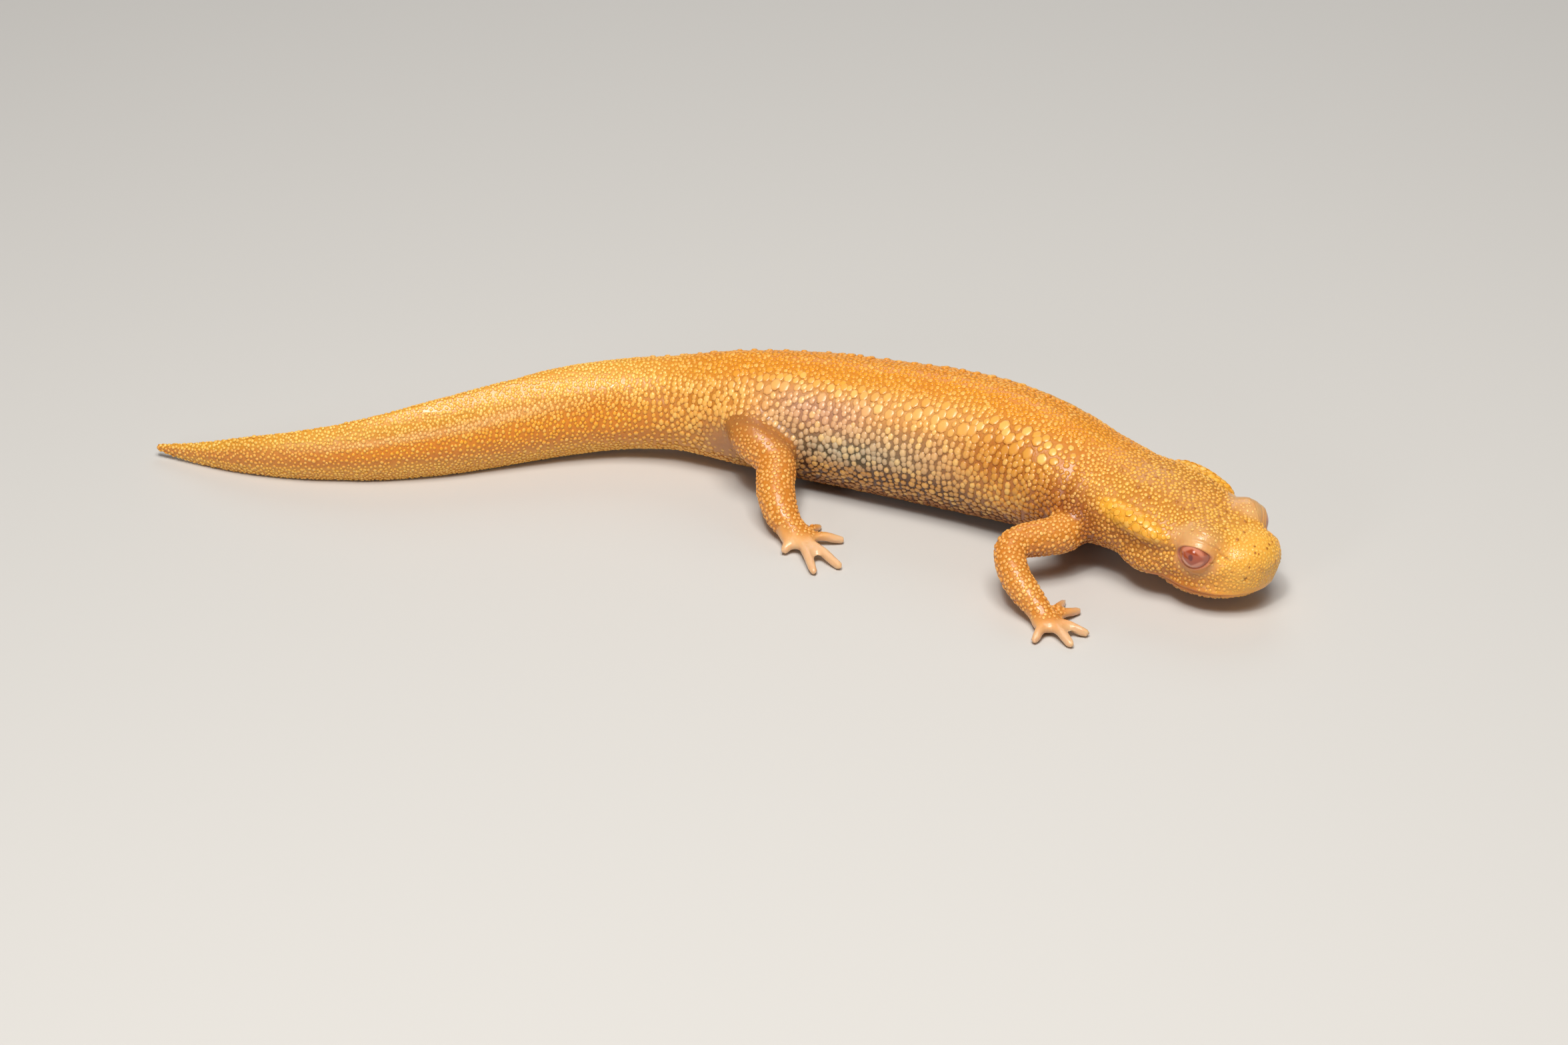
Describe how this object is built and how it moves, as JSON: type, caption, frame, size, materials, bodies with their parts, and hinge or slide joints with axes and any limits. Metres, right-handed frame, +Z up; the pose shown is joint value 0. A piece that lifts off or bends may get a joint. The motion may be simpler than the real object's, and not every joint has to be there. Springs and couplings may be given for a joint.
{
  "type": "fire-bellied newt model",
  "caption": "Still, life-size model of an albino fire-bellied newt standing with its body curved, head turned and tail laid on the floor.",
  "frame": {"origin": "on the floor under the middle of the whole newt's box", "axes": "+X runs from the tail's tip towards the head, +Z is up, and the newt's left side is towards +Y"},
  "size_m": [0.104, 0.0514, 0.0129],
  "materials": {
    "skin": "wet, finely granular yellow-orange skin",
    "eye": "wet, glossy pinkish red"
  },
  "bodies": {
    "root": {"head": "skin", "lower_jaw": "skin", "neck": "skin", "trunk_front": "skin", "trunk_rear": "skin", "tail_base": "skin", "tail_middle": "skin", "tail_tip": "skin", "upper_arm_left": "skin", "forearm_left": "skin", "hand_left": "skin", "upper_arm_right": "skin", "forearm_right": "skin", "hand_right": "skin", "thigh_left": "skin", "shin_left": "skin", "foot_left": "skin", "thigh_right": "skin", "shin_right": "skin", "foot_right": "skin", "eye_left": "eye", "eye_right": "eye"}
  },
  "joints": []
}
